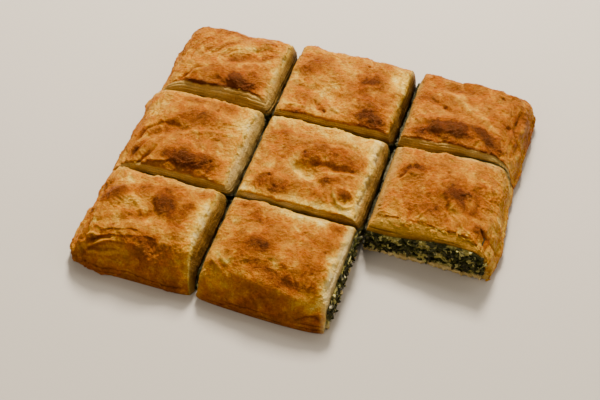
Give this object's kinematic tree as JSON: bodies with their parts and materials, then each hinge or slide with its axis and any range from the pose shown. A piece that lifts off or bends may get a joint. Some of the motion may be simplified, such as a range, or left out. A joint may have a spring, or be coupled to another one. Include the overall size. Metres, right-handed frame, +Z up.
{
  "type": "spanakopita pie",
  "caption": "Rectangular puff pastry spinach and feta pie cut in a grid, one corner piece taken out, filling showing at the cuts.",
  "frame": {"origin": "middle of the whole pie's footprint, on the surface that it lies on", "axes": "+X along the long side to the right, +Y to the back, +Z up out of the browned top; the missing piece is at the front right"},
  "size_m": [0.2543, 0.2134, 0.0345],
  "materials": {
    "crust": "egg-washed puff pastry, golden brown with darker blisters and pale cut edges, satin sheen",
    "filling": "moist chopped spinach with crumbled white cheese",
    "base": "thin pale baked pastry, matt"
  },
  "bodies": {
    "root": {"back_centre_base": "base", "back_centre_filling": "filling", "back_centre_lid": "crust", "back_left_base": "base", "back_left_filling": "filling", "back_left_lid": "crust", "back_right_base": "base", "back_right_filling": "filling", "back_right_lid": "crust", "front_centre_base": "base", "front_centre_filling": "filling", "front_centre_lid": "crust", "front_left_base": "base", "front_left_filling": "filling", "front_left_lid": "crust", "middle_centre_base": "base", "middle_centre_filling": "filling", "middle_centre_lid": "crust", "middle_left_base": "base", "middle_left_filling": "filling", "middle_left_lid": "crust", "middle_right_base": "base", "middle_right_filling": "filling", "middle_right_lid": "crust"}
  },
  "joints": []
}
